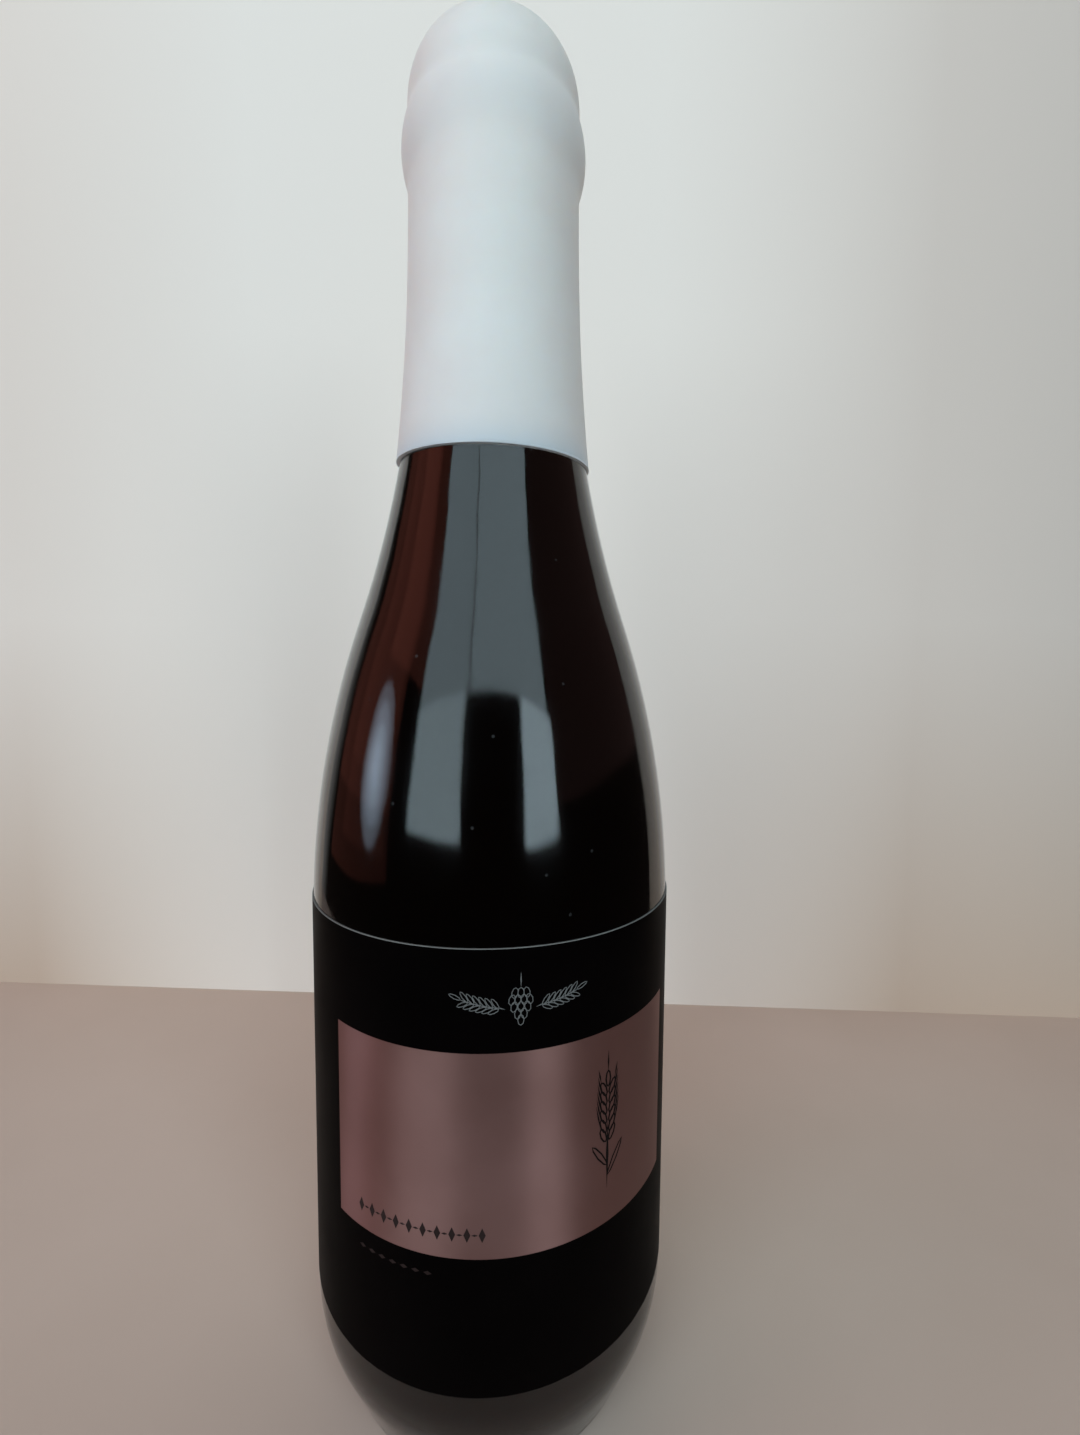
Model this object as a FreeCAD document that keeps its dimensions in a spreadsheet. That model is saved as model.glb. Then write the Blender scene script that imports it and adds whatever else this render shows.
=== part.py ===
"""A half-size sparkling bottle of beer, sealed with dipped wax. Millimetres, +Z up, origin at the base centre.

The front of the label faces -Y. Four pieces lie in one another: the glass, the drink in it, the paper
label round its straight wall, and the wax over the neck and mouth.
"""
import FreeCAD, Part
import math
import os
import Sketcher

# Driving dimensions: cell alias, value in millimetres or degrees, and what it is.
SIZES = (
    ("body_radius", 35.0, "glass, outside of the straight wall"),
    ("heel_start", 20.5, "height where the wall starts to turn in"),
    ("heel_radius", 26.0, "arc from the wall into the heel"),
    ("heel_taper", 23.0, "lean of the heel below that arc, degrees"),
    ("foot_radius", 2.5, "arc from the heel to the standing ring"),
    ("toe_radius", 2.0, "arc from the standing ring into the punt"),
    ("toe_place", 24.0, "distance of that arc's centre from the axis"),
    ("punt_height", 20.0, "top of the hollow under the base"),
    ("shoulder_start", 91.8, "height where the wall ends"),
    ("shoulder_radius", 176.5, "long outward curve of the shoulder"),
    ("sweep_radius", 215.5, "long hollow curve up to the neck"),
    ("neck_lean", 0.8, "taper of the neck on each side, degrees"),
    ("neck_radius", 14.6, "neck just under the collar"),
    ("neck_top", 229.0, "height where the collar starts"),
    ("collar_radius", 16.2, "ring that a wire hood would hold"),
    ("collar_bottom", 231.5, "lower edge of the collar's face"),
    ("collar_top", 237.5, "upper edge of the collar's face"),
    ("collar_rounding", 0.8, "both edges of the collar"),
    ("finish_bottom", 240.0, "root of the finish above the collar"),
    ("lip_radius", 13.2, "outside of the finish and its lip"),
    ("lip_rounding", 2.5, "outer edge of the mouth"),
    ("glass_height", 250.5, "mouth of the bottle"),
    ("glass_wall", 4.4, "thickness of the body and shoulder"),
    ("floor_radius", 27.0, "dome of the inner floor over the punt"),
    ("floor_top", 24.6, "height of that dome"),
    ("corner_radius", 5.0, "inner corner of wall and floor"),
    ("inner_sweep_radius", 228.0, "hollow curve inside the neck"),
    ("bore_radius", 9.4, "bore of the neck"),
    ("fill_height", 192.0, "level of the drink"),
    ("label_bottom", 23.0, "lower edge of the label"),
    ("label_top", 96.5, "upper edge of the label"),
    ("label_thickness", 0.2, "paper with its coat"),
    ("label_gap", 9.0, "gap between the label's ends at the back, degrees"),
    ("wax_edge", 176.8, "height of the wax's lower edge on the axis"),
    ("wax_slant", 1.7, "slant of that edge, lower towards +X, degrees"),
    ("wax_edge_rounding", 0.45, "outer corner of that edge"),
    ("wax_blank_bottom", 172.0, "lower end of the wax before it is cut"),
    ("wax_skirt_radius", 458.0, "long hollow curve of the waxed neck"),
    ("wax_waist", 16.3, "slimmest place, under the ring"),
    ("wax_blend", 8.0, "hollow curves below and above the ring"),
    ("wax_ring", 17.6, "widest place, over the collar"),
    ("wax_ring_height", 235.0, "height of that place"),
    ("wax_ring_rounding", 15.0, "curve of the ring"),
    ("wax_dome", 16.4, "foot of the dome over the mouth"),
    ("wax_shoulder", 13.4, "curve round the dome's shoulder"),
    ("wax_crown", 30.0, "flatter curve of the dome's top"),
    ("wax_height", 257.2, "top of the dome"),
    ("cut_reach", 30.0, "half width of the slanted cut"),
)

doc = FreeCAD.newDocument("waxed_bottle")


def write_sizes():
    """Put every size in the sheet, with its alias, and return the sheet."""
    sheet = doc.addObject("Spreadsheet::Sheet", "sizes")
    for row, (alias, value, meaning) in enumerate(SIZES, start=1):
        sheet.set(f"A{row}", alias)
        sheet.set(f"B{row}", str(value))
        sheet.set(f"C{row}", meaning)
        sheet.setAlias(f"B{row}", alias)
    doc.recompute()
    return sheet


sizes = write_sizes()


def origin_plane(body, role):
    """The body's own origin plane with this role."""
    return next(feature for feature in body.Origin.OriginFeatures if feature.Role == role)


def along(centre, radius, degrees):
    """The point of a circle in this direction from its centre."""
    turn = math.radians(degrees)
    return centre[0] + radius * math.cos(turn), centre[1] + radius * math.sin(turn)


def direction(start, end):
    """The direction from one point to another, in degrees."""
    return math.degrees(math.atan2(end[1] - start[1], end[0] - start[0]))


def leg(longest, other):
    """The third side of a right triangle."""
    return math.sqrt(longest ** 2 - other ** 2)


class Outline:
    """A closed sketch in one of a body's own planes: x is the distance from the axis, y the height.

    Pieces are drawn one after another, already at their place. close() ties each to the next, and the
    calls after it bind the sketch to the sheet.
    """

    ORIGIN, UPRIGHT_AXIS, LEVEL_AXIS = -1, -2, -1
    POINTS = {"start": 1, "end": 2, "centre": 3}

    def __init__(self, body, name, plane="XZ_Plane"):
        self.sketch = body.newObject("Sketcher::SketchObject", name)
        self.sketch.AttachmentSupport = [(origin_plane(body, plane), "")]
        self.sketch.MapMode = "FlatFace"
        self.pieces = {}

    def line(self, name, start, end):
        segment = Part.LineSegment(FreeCAD.Vector(*start, 0), FreeCAD.Vector(*end, 0))
        self.pieces[name] = (self.sketch.addGeometry(segment, False), False)

    def arc(self, name, centre, radius, first, last):
        """An arc from one direction to another; clockwise where last is less than first."""
        backwards = last < first
        low, high = sorted((math.radians(first), math.radians(last)))
        circle = Part.Circle(FreeCAD.Vector(*centre, 0), FreeCAD.Vector(0, 0, 1), radius)
        self.pieces[name] = (self.sketch.addGeometry(Part.ArcOfCircle(circle, low, high), False), backwards)

    def point(self, name, end):
        """The sketcher's own numbers for a piece's start, end or centre, as drawn."""
        number, backwards = self.pieces[name]
        if backwards and end != "centre":
            end = "end" if end == "start" else "start"
        return number, self.POINTS[end]

    def tie(self, kind, *refs):
        return self.sketch.addConstraint(Sketcher.Constraint(kind, *refs))

    def close(self, smooth):
        """Join each piece to the one drawn before it, and smoothly where its name is given."""
        names = list(self.pieces)
        for before, name in zip(names[-1:] + names[:-1], names):
            kind = "Tangent" if name in smooth else "Coincident"
            self.tie(kind, *self.point(before, "end"), *self.point(name, "start"))

    def bind(self, name, kind, refs, value, formula):
        """A dimension that follows the sheet."""
        index = self.tie(kind, *refs, value)
        self.sketch.renameConstraint(index, name)
        self.sketch.setExpression(f"Constraints.{name}", formula)

    def radius(self, name, formula):
        number = self.pieces[name][0]
        self.bind(f"{name}_radius", "Radius", (number,), self.sketch.Geometry[number].Radius, formula)

    def slope(self, name, formula):
        number = self.pieces[name][0]
        segment = self.sketch.Geometry[number]
        start, end = segment.StartPoint, segment.EndPoint
        turn = math.atan2(end.y - start.y, end.x - start.x)
        self.bind(f"{name}_slope", "Angle", (number,), turn, formula)

    def place(self, name, end, across=None, up=None):
        """Hold a point at this distance from the axis, at this height, or both."""
        where = self.sketch.getPoint(*self.point(name, end))
        refs = (self.ORIGIN, 1, *self.point(name, end))
        if across:
            self.bind(f"{name}_{end}_across", "DistanceX", refs, where.x, across)
        if up:
            self.bind(f"{name}_{end}_up", "DistanceY", refs, where.y, up)

    def on_axis(self, name, end):
        self.tie("PointOnObject", *self.point(name, end), self.UPRIGHT_AXIS)

    def on_ground(self, name, end):
        self.tie("PointOnObject", *self.point(name, end), self.LEVEL_AXIS)

    def upright(self, *names):
        for name in names:
            self.tie("Vertical", self.pieces[name][0])

    def level(self, *names):
        for name in names:
            self.tie("Horizontal", self.pieces[name][0])


def new_body(label):
    body = doc.addObject("PartDesign::Body", label)
    body.Label = label
    return body


def revolve(body, outline, name):
    """Turn the whole outline round the upright axis."""
    feature = body.newObject("PartDesign::Revolution", name)
    feature.Profile = outline.sketch
    feature.ReferenceAxis = (outline.sketch, ["V_Axis"])
    doc.recompute()
    return feature


def round_edges(body, name, wanted, formula):
    """Fillet each edge of the body's last feature that wanted picks."""
    edges = body.Tip.Shape.Edges
    chosen = [f"Edge{number}" for number, edge in enumerate(edges, start=1) if wanted(edge)]
    base = body.Tip
    feature = body.newObject("PartDesign::Fillet", name)
    feature.Base = (base, chosen)
    feature.setExpression("Radius", formula)
    doc.recompute()
    return feature


def is_ring(edge, radius, height):
    """Whether an edge is the level circle of this radius at this height."""
    tolerance = 0.001
    box = edge.BoundBox
    level = abs(box.ZMin - height) < tolerance and abs(box.ZMax - height) < tolerance
    return level and abs(box.XMax - radius) < tolerance


def two_curves(near_centre, near_radius, far_across, far_radius, lean):
    """Where a far circle, curving the other way, touches a near one and a line that leans by lean.

    far_across is how far the line lies from the origin. Returns the direction from the near centre to
    the touching point, and the far circle's centre.
    """
    tilt = math.radians(lean)
    near_across = near_centre[0] * math.cos(tilt) + near_centre[1] * math.sin(tilt)
    reach = (far_across + far_radius - near_across) / (near_radius + far_radius)
    turn = lean + math.degrees(math.acos(reach))
    return turn, along(near_centre, near_radius + far_radius, turn)


def make_bottle_form():
    """The outside of the glass: punt, standing ring, heel, wall, shoulder, neck, collar and lip."""
    body = new_body("bottle_form")
    outline = Outline(body, "bottle_outline")

    toe_centre = (sizes.toe_place, sizes.toe_radius)
    rise = sizes.punt_height - sizes.toe_radius
    punt_radius = (sizes.toe_place ** 2 + rise ** 2 - sizes.toe_radius ** 2) / (2 * (rise + sizes.toe_radius))
    punt_centre = (0, sizes.punt_height - punt_radius)
    toe_direction = direction(punt_centre, toe_centre)

    heel_centre = (sizes.body_radius - sizes.heel_radius, sizes.heel_start)
    taper_start = along(heel_centre, sizes.heel_radius, -sizes.heel_taper)
    foot_rise = along((0, sizes.foot_radius), sizes.foot_radius, -sizes.heel_taper)[1]
    taper_run = (taper_start[1] - foot_rise) * math.tan(math.radians(sizes.heel_taper))
    taper_end = (taper_start[0] - taper_run, foot_rise)
    foot_across = along(taper_end, -sizes.foot_radius, -sizes.heel_taper)[0]
    foot_centre = (foot_across, sizes.foot_radius)

    shoulder_centre = (sizes.body_radius - sizes.shoulder_radius, sizes.shoulder_start)
    lean = math.radians(sizes.neck_lean)
    neck_across = sizes.neck_radius * math.cos(lean) + sizes.neck_top * math.sin(lean)
    turn, sweep_centre = two_curves(
        shoulder_centre, sizes.shoulder_radius, neck_across, sizes.sweep_radius, sizes.neck_lean
    )
    shoulder_end = (sizes.body_radius, sizes.shoulder_start)
    neck_start = along(sweep_centre, -sizes.sweep_radius, sizes.neck_lean)
    neck_end = (sizes.neck_radius, sizes.neck_top)
    collar_low = (sizes.collar_radius, sizes.collar_bottom)
    collar_high = (sizes.collar_radius, sizes.collar_top)
    finish_root = (sizes.lip_radius, sizes.finish_bottom)
    lip = (sizes.lip_radius, sizes.glass_height)
    mouth = (0, sizes.glass_height)

    outline.arc("punt", punt_centre, punt_radius, 90, toe_direction)
    outline.arc("toe", toe_centre, sizes.toe_radius, 180 + toe_direction, 270)
    outline.line("standing_ring", (toe_centre[0], 0), (foot_across, 0))
    outline.arc("foot", foot_centre, sizes.foot_radius, -90, -sizes.heel_taper)
    outline.line("taper", taper_end, taper_start)
    outline.arc("heel", heel_centre, sizes.heel_radius, -sizes.heel_taper, 0)
    outline.line("wall", (sizes.body_radius, sizes.heel_start), shoulder_end)
    outline.arc("shoulder", shoulder_centre, sizes.shoulder_radius, 0, turn)
    outline.arc("sweep", sweep_centre, sizes.sweep_radius, 180 + turn, 180 + sizes.neck_lean)
    outline.line("neck", neck_start, neck_end)
    outline.line("collar_underside", neck_end, collar_low)
    outline.line("collar_face", collar_low, collar_high)
    outline.line("collar_slope", collar_high, finish_root)
    outline.line("finish", finish_root, lip)
    outline.line("mouth", lip, mouth)
    outline.line("axis", mouth, (0, sizes.punt_height))

    outline.close(
        ("toe", "standing_ring", "foot", "taper", "heel", "wall", "shoulder", "sweep", "neck")
    )
    outline.on_axis("punt", "start")
    outline.on_axis("punt", "centre")
    outline.on_axis("axis", "start")
    outline.place("punt", "start", up="sizes.punt_height")
    outline.radius("toe", "sizes.toe_radius")
    outline.place("toe", "centre", across="sizes.toe_place")
    outline.on_ground("standing_ring", "start")
    outline.level("standing_ring", "mouth")
    outline.radius("foot", "sizes.foot_radius")
    outline.slope("taper", "90 deg - sizes.heel_taper * 1 deg")
    outline.radius("heel", "sizes.heel_radius")
    outline.upright("wall", "collar_face", "finish")
    outline.place("wall", "start", across="sizes.body_radius", up="sizes.heel_start")
    outline.place("wall", "end", up="sizes.shoulder_start")
    outline.radius("shoulder", "sizes.shoulder_radius")
    outline.radius("sweep", "sizes.sweep_radius")
    outline.slope("neck", "90 deg + sizes.neck_lean * 1 deg")
    outline.place("neck", "end", across="sizes.neck_radius", up="sizes.neck_top")
    outline.place("collar_face", "start", across="sizes.collar_radius", up="sizes.collar_bottom")
    outline.place("collar_face", "end", up="sizes.collar_top")
    outline.place("finish", "start", across="sizes.lip_radius", up="sizes.finish_bottom")
    outline.place("finish", "end", up="sizes.glass_height")

    revolve(body, outline, "bottle_turned")
    round_edges(
        body, "lip_rounded",
        lambda edge: is_ring(edge, sizes.lip_radius, sizes.glass_height), "sizes.lip_rounding",
    )
    round_edges(
        body, "collar_rounded",
        lambda edge: is_ring(edge, sizes.collar_radius, sizes.collar_bottom)
        or is_ring(edge, sizes.collar_radius, sizes.collar_top),
        "sizes.collar_rounding",
    )
    return body


def make_cavity_form():
    """The space inside the glass, from the domed floor to the mouth."""
    body = new_body("cavity_form")
    outline = Outline(body, "cavity_outline")

    inner_radius = sizes.body_radius - sizes.glass_wall
    floor_centre = (0, sizes.floor_top - sizes.floor_radius)
    corner_across = inner_radius - sizes.corner_radius
    corner_rise = leg(sizes.floor_radius + sizes.corner_radius, corner_across)
    corner_centre = (corner_across, floor_centre[1] + corner_rise)
    corner_direction = direction(floor_centre, corner_centre)

    shoulder_radius = sizes.shoulder_radius - sizes.glass_wall
    shoulder_centre = (inner_radius - shoulder_radius, sizes.shoulder_start)
    turn, sweep_centre = two_curves(
        shoulder_centre, shoulder_radius, sizes.bore_radius, sizes.inner_sweep_radius, 0
    )
    bore_start = (sizes.bore_radius, sweep_centre[1])
    bore_end = (sizes.bore_radius, sizes.glass_height)
    mouth = (0, sizes.glass_height)

    outline.arc("floor", floor_centre, sizes.floor_radius, 90, corner_direction)
    outline.arc("corner", corner_centre, sizes.corner_radius, 180 + corner_direction, 360)
    outline.line("wall", (inner_radius, corner_centre[1]), (inner_radius, sizes.shoulder_start))
    outline.arc("shoulder", shoulder_centre, shoulder_radius, 0, turn)
    outline.arc("sweep", sweep_centre, sizes.inner_sweep_radius, 180 + turn, 180)
    outline.line("bore", bore_start, bore_end)
    outline.line("mouth", bore_end, mouth)
    outline.line("axis", mouth, (0, sizes.floor_top))

    outline.close(("corner", "wall", "shoulder", "sweep", "bore"))
    outline.on_axis("floor", "start")
    outline.on_axis("floor", "centre")
    outline.on_axis("axis", "start")
    outline.place("floor", "start", up="sizes.floor_top")
    outline.radius("floor", "sizes.floor_radius")
    outline.radius("corner", "sizes.corner_radius")
    outline.upright("wall", "bore")
    outline.place("wall", "end", across="sizes.body_radius - sizes.glass_wall", up="sizes.shoulder_start")
    outline.radius("shoulder", "sizes.shoulder_radius - sizes.glass_wall")
    outline.radius("sweep", "sizes.inner_sweep_radius")
    outline.place("bore", "end", across="sizes.bore_radius", up="sizes.glass_height")
    outline.level("mouth")

    revolve(body, outline, "cavity_turned")
    return body


def make_wax_form():
    """The outside of the wax: skirt on the neck, ring over the collar and dome over the mouth."""
    body = new_body("wax_form")
    outline = Outline(body, "wax_outline")

    ring_centre = (sizes.wax_ring - sizes.wax_ring_rounding, sizes.wax_ring_height)
    reach = sizes.wax_ring_rounding + sizes.wax_blend
    waist_across = sizes.wax_waist + sizes.wax_blend
    waist_centre = (waist_across, ring_centre[1] - leg(reach, waist_across - ring_centre[0]))
    throat_across = sizes.wax_dome + sizes.wax_blend
    throat_centre = (throat_across, ring_centre[1] + leg(reach, throat_across - ring_centre[0]))
    ring_low = direction(ring_centre, waist_centre)
    ring_high = direction(ring_centre, throat_centre)

    skirt_centre = (sizes.wax_waist + sizes.wax_skirt_radius, waist_centre[1])
    drop = waist_centre[1] - sizes.wax_blank_bottom
    skirt_turn = math.degrees(math.asin(drop / sizes.wax_skirt_radius))
    skirt_start = along(skirt_centre, sizes.wax_skirt_radius, 180 + skirt_turn)

    dome_centre_across = sizes.wax_dome - sizes.wax_shoulder
    crown_centre = (0, sizes.wax_height - sizes.wax_crown)
    dome_rise = leg(sizes.wax_crown - sizes.wax_shoulder, dome_centre_across)
    dome_centre = (dome_centre_across, crown_centre[1] + dome_rise)
    crown_direction = direction(crown_centre, dome_centre)

    outline.line("blank_bottom", (0, sizes.wax_blank_bottom), skirt_start)
    outline.arc("skirt", skirt_centre, sizes.wax_skirt_radius, 180 + skirt_turn, 180)
    outline.arc("waist", waist_centre, sizes.wax_blend, 180, 180 + ring_low)
    outline.arc("ring", ring_centre, sizes.wax_ring_rounding, ring_low, ring_high)
    outline.arc("throat", throat_centre, sizes.wax_blend, 180 + ring_high, 180)
    outline.line("side", (sizes.wax_dome, throat_centre[1]), (sizes.wax_dome, dome_centre[1]))
    outline.arc("dome", dome_centre, sizes.wax_shoulder, 0, crown_direction)
    outline.arc("crown", crown_centre, sizes.wax_crown, crown_direction, 90)
    outline.line("axis", (0, sizes.wax_height), (0, sizes.wax_blank_bottom))

    outline.close(("waist", "ring", "throat", "side", "dome", "crown"))
    outline.level("blank_bottom")
    outline.on_axis("blank_bottom", "start")
    outline.place("blank_bottom", "end", up="sizes.wax_blank_bottom")
    outline.radius("skirt", "sizes.wax_skirt_radius")
    outline.radius("waist", "sizes.wax_blend")
    outline.place("waist", "start", across="sizes.wax_waist")
    outline.tie("Horizontal", *outline.point("waist", "start"), *outline.point("waist", "centre"))
    outline.radius("ring", "sizes.wax_ring_rounding")
    outline.place(
        "ring", "centre", across="sizes.wax_ring - sizes.wax_ring_rounding", up="sizes.wax_ring_height"
    )
    outline.radius("throat", "sizes.wax_blend")
    outline.upright("side")
    outline.place("side", "end", across="sizes.wax_dome")
    outline.radius("dome", "sizes.wax_shoulder")
    outline.radius("crown", "sizes.wax_crown")
    outline.on_axis("crown", "centre")
    outline.on_axis("crown", "end")
    outline.place("crown", "end", up="sizes.wax_height")

    revolve(body, outline, "wax_turned")
    cut_slanted_edge(body)
    return body


def cut_slanted_edge(body):
    """Cut the wax off along its slanted lower edge, and round the edge's outer corner."""
    outline = Outline(body, "edge_outline")
    fall = sizes.cut_reach * math.tan(math.radians(sizes.wax_slant))
    high = (-sizes.cut_reach, sizes.wax_edge + fall)
    low = (sizes.cut_reach, sizes.wax_edge - fall)
    under_low = (low[0], sizes.wax_blank_bottom)
    under_high = (high[0], sizes.wax_blank_bottom)
    outline.line("edge", high, low)
    outline.line("right", low, under_low)
    outline.line("bottom", under_low, under_high)
    outline.line("left", under_high, high)
    outline.close(())
    outline.upright("right", "left")
    mirrored = (*outline.point("bottom", "start"), *outline.point("bottom", "end"))
    outline.tie("Symmetric", *mirrored, Outline.UPRIGHT_AXIS)
    outline.place("bottom", "start", across="sizes.cut_reach", up="sizes.wax_blank_bottom")
    fall_formula = "sizes.cut_reach * tan(sizes.wax_slant * 1 deg)"
    outline.place("edge", "start", up=f"sizes.wax_edge + {fall_formula}")
    outline.place("edge", "end", up=f"sizes.wax_edge - {fall_formula}")

    before = body.Tip.Shape.Volume
    cut = body.newObject("PartDesign::Pocket", "edge_cut")
    cut.Profile = outline.sketch
    cut.Type = "ThroughAll"
    cut.SideType = "Symmetric"
    doc.recompute()
    if cut.Shape.Volume >= before:
        raise RuntimeError("the slanted cut took nothing off the wax")

    lowest = min(cut.Shape.Edges, key=lambda edge: edge.BoundBox.ZMin)
    round_edges(body, "edge_rounded", lambda edge: edge.isSame(lowest), "sizes.wax_edge_rounding")


def make_glass_bottle(bottle_form, cavity_form):
    """Sub-part: the hollow glass."""
    glass = doc.addObject("Part::Cut", "glass_bottle")
    glass.Base = bottle_form
    glass.Tool = cavity_form


def make_beer(cavity_form):
    """Sub-part: the drink, which fills the glass up to its level in the neck."""
    level = doc.addObject("Part::Cylinder", "fill_level")
    level.setExpression("Radius", "sizes.body_radius")
    level.setExpression("Height", "sizes.fill_height")
    beer = doc.addObject("Part::Common", "beer")
    beer.Base = cavity_form
    beer.Tool = level


def make_label():
    """Sub-part: the paper label, wrapped round the front and open by a narrow gap at the back."""
    body = new_body("label")
    outline = Outline(body, "label_outline", "YZ_Plane")
    outer_radius = sizes.body_radius + sizes.label_thickness
    corners = (
        (-sizes.body_radius, sizes.label_bottom), (-outer_radius, sizes.label_bottom),
        (-outer_radius, sizes.label_top), (-sizes.body_radius, sizes.label_top),
    )
    names = ("lower_edge", "face", "upper_edge", "back")
    for name, start, end in zip(names, corners, corners[1:] + corners[:1]):
        outline.line(name, start, end)
    outline.close(())
    outline.level("lower_edge", "upper_edge")
    outline.upright("face", "back")
    outline.place("face", "end", across="-sizes.body_radius - sizes.label_thickness", up="sizes.label_top")
    outline.place("back", "end", across="-sizes.body_radius", up="sizes.label_bottom")

    wrap = revolve(body, outline, "label_wrapped")
    wrap.Midplane = True
    wrap.setExpression("Angle", "360 deg - sizes.label_gap * 1 deg")


def make_wax_seal(wax_form, bottle_form):
    """Sub-part: the wax, which lies on the glass all round and closes the mouth."""
    wax = doc.addObject("Part::Cut", "wax_seal")
    wax.Base = wax_form
    wax.Tool = bottle_form


def check_document():
    """Stop on any object that failed to recompute."""
    for item in doc.Objects:
        if "Invalid" in item.State or "Error" in item.State:
            raise RuntimeError(f"{item.Label} failed: {item.State}")


def write_subparts(names):
    """Check each sub-part and write it to its own file."""
    os.makedirs("parts", exist_ok=True)
    for name in names:
        shape = doc.getObject(name).Shape
        if shape.isNull() or not shape.isValid() or len(shape.Solids) != 1:
            raise RuntimeError(f"{name} isn't one valid solid")
        shape.exportStep(f"parts/{name}.step")
        print(name, "volume", round(shape.Volume), "mm3")


bottle_form = make_bottle_form()
cavity_form = make_cavity_form()
wax_form = make_wax_form()
make_glass_bottle(bottle_form, cavity_form)
make_beer(cavity_form)
make_label()
make_wax_seal(wax_form, bottle_form)
doc.recompute()
check_document()
write_subparts(("glass_bottle", "beer", "label", "wax_seal"))
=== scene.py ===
import math

import bpy
from mathutils import Matrix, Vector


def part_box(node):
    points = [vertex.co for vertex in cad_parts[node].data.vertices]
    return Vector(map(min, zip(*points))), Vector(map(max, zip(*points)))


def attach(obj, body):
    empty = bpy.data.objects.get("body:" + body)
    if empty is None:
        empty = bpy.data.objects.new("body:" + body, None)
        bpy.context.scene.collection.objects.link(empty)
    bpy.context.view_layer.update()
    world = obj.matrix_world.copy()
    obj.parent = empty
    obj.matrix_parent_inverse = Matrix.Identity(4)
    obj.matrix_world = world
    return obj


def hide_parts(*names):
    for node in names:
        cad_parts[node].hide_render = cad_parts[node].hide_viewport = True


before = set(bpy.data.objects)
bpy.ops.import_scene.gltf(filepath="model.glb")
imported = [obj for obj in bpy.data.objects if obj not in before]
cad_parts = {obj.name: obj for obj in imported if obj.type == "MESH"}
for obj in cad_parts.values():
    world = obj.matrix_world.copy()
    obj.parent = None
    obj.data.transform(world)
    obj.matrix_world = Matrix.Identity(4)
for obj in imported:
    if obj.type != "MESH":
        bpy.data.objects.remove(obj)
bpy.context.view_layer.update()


# ---------------------------------------------------------------- camera
# A wide lens held close in front of the bottle, a little to the left of the
# label's middle and at the height of the shoulder, tipped slightly down.

camera_distance = 0.1280
camera_height = 0.1380
camera_round = math.radians(-7.0)       # round the bottle, from the label's middle
camera_aside = math.radians(-4.24)      # turned away, so the bottle stands left of the middle
camera_down = math.radians(3.94)
camera_roll = math.radians(0.4)
camera_lens = 15.8                      # millimetres, on a frame 36 mm wide

bpy.ops.object.select_all(action="DESELECT")
bpy.ops.object.camera_add()
camera = bpy.context.object
camera.name = "camera"
camera.data.sensor_width = 36.0
camera.data.lens = camera_lens
camera.data.clip_start = 0.005
camera.data.clip_end = 20.0
camera.matrix_world = (
    Matrix.Rotation(camera_round, 4, "Z")
    @ Matrix.Translation((0, -camera_distance, camera_height))
    @ Matrix.Rotation(camera_aside, 4, "Z")
    @ Matrix.Rotation(math.radians(90) - camera_down, 4, "X")
    @ Matrix.Rotation(camera_roll, 4, "Z")
)
bpy.context.scene.camera = camera


# ---------------------------------------------------------------- glass bottle
# A small, thick, dark amber beer bottle with a long sloping shoulder and a
# punt. It is blown in a two-part mould, so two fine seams run up its sides,
# and a ring of small knurls under the heel keeps the hot glass off the belt.

glass_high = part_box("glass_bottle")[1]
body_radius = glass_high.x
glass_height = glass_high.z
glass_wall = 0.0044
round_parts = 160                       # parts round the bottle in every turned piece
same_place = 0.000004                   # points closer than this are one
smooth_under = math.radians(40)         # corners sharper than this stay crisp
seam_width = 0.0006
knurl_count = 90
knurl_top, knurl_end = 0.0025, 0.0035   # where the knurls start to fade, and where they end

punt_height = 0.020
punt_radius = 0.0224
toe_radius = 0.002
foot_radius = 0.0025
standing_ring = 0.0029                  # width of the flat that the bottle stands on
punt_turn = -79.6                       # directions along the outline, in degrees:
heel_lean = 67.0                        # 0 is straight out, 90 is straight up
heel_radius = 0.026
heel_top = 0.0205
shoulder_start = 0.0918
shoulder_radius = 0.1765
shoulder_lean = 108.47
sweep_radius = 0.2155
neck_lean = 90.8
neck_radius = 0.0146
neck_top = 0.229
collar_low = 0.2315
collar_high = 0.2375
collar_radius = 0.0162
lip_low = 0.2400
lip_radius = 0.0132
lip_rounding = 0.0025
bore_radius = 0.0094
inner_sweep_radius = 0.228
inner_lean = 108.74
corner_radius = 0.005
floor_radius = 0.027
floor_top = 0.0246
floor_turn = -53.13


def turn(path, radius, start, end, parts):
    """Carries an outline on round a curve, from one direction to another."""
    side = 1 if end > start else -1
    across, up = path[-1]
    first = math.radians(start)
    for part in range(1, parts + 1):
        now = math.radians(start + (end - start) * part / parts)
        path.append((
            across + side * radius * (math.sin(now) - math.sin(first)),
            up - side * radius * (math.cos(now) - math.cos(first)),
        ))


def run(path, across, up, parts=1):
    """Carries an outline straight on to a place."""
    first = path[-1]
    for part in range(1, parts + 1):
        share = part / parts
        path.append((first[0] + (across - first[0]) * share, first[1] + (up - first[1]) * share))


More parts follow.
